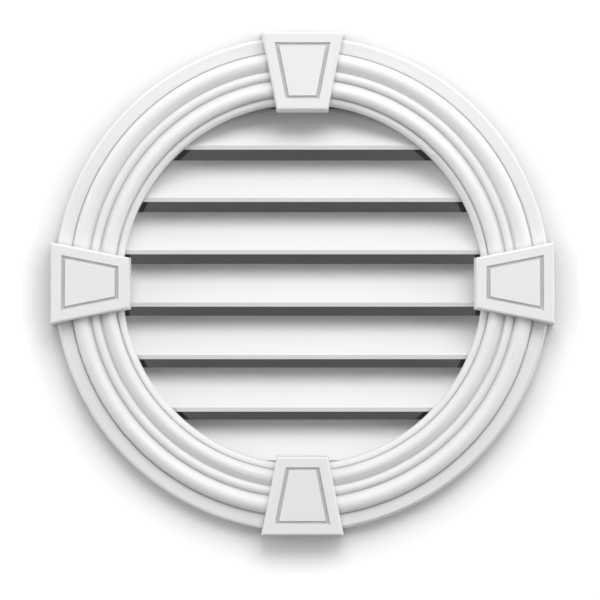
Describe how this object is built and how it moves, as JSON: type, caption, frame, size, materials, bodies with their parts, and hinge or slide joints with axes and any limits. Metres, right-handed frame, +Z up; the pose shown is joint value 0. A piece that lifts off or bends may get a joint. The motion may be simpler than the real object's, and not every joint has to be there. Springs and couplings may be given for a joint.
{
  "type": "round gable vent",
  "caption": "Round louvred gable vent for a wall: moulded base with sloping slats, screw flange, beaded trim ring, grooved keystones and an insect screen.",
  "frame": {"origin": "centre of the screw circle, on the back of the screw flange, which is the wall's face", "axes": "+Y goes into the wall, the louvred front looks along -Y, +Z is up"},
  "size_m": [0.686, 0.083, 0.686],
  "materials": {
    "louvre_white": "satin moulded white",
    "flange_white": "satin moulded white",
    "trim_white": "satin moulded white",
    "keystone_white": "satin moulded white",
    "screen_charcoal": "dark coated mesh"
  },
  "bodies": {
    "root": {"louvre_base": "louvre_white", "screw_flange": "flange_white", "trim_ring": "trim_white", "keystone_top": "keystone_white", "keystone_right": "keystone_white", "keystone_bottom": "keystone_white", "keystone_left": "keystone_white", "insect_screen": "screen_charcoal"}
  },
  "joints": []
}
